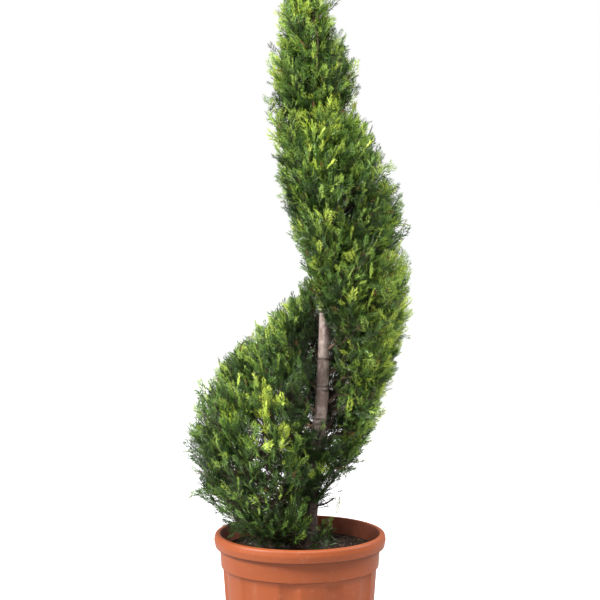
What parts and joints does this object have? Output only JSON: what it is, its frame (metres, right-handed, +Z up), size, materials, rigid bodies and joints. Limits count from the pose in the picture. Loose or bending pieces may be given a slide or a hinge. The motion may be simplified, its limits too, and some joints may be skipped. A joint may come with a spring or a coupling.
{
  "type": "potted spiral topiary",
  "caption": "Clipped conifer trained as a left-handed spiral of foliage round a bare trunk, in a fluted plastic container filled with potting soil.",
  "frame": {"origin": "centre of the container's flat underside, on the surface it stands on", "axes": "+Z up along the container's axis; -Y is the side where the spiral opens on its bare trunk; +X is to the right seen from that side"},
  "size_m": [0.3986, 0.3412, 1.221],
  "materials": {
    "container": "satin",
    "soil": "matte",
    "bark": "matte",
    "foliage": "matte"
  },
  "bodies": {
    "root": {"pot": "container", "soil": "soil", "trunk": "bark", "bough_right_upper": "bark", "bough_right_middle": "bark", "bough_right_lower": "bark", "bough_right_sprig": "bark", "bough_left_upper": "bark", "bough_left_lower": "bark", "bough_left_front": "bark", "bough_back_upper": "bark", "bough_back_lower": "bark", "foliage_front_low": "foliage", "foliage_left_low": "foliage", "foliage_back_low": "foliage", "foliage_right_low": "foliage", "foliage_right_middle": "foliage", "foliage_front_middle": "foliage", "foliage_left_upper": "foliage", "foliage_back_upper": "foliage", "foliage_top": "foliage", "foliage_right_sprig": "foliage", "foliage_foot_tuft": "foliage"}
  },
  "joints": []
}
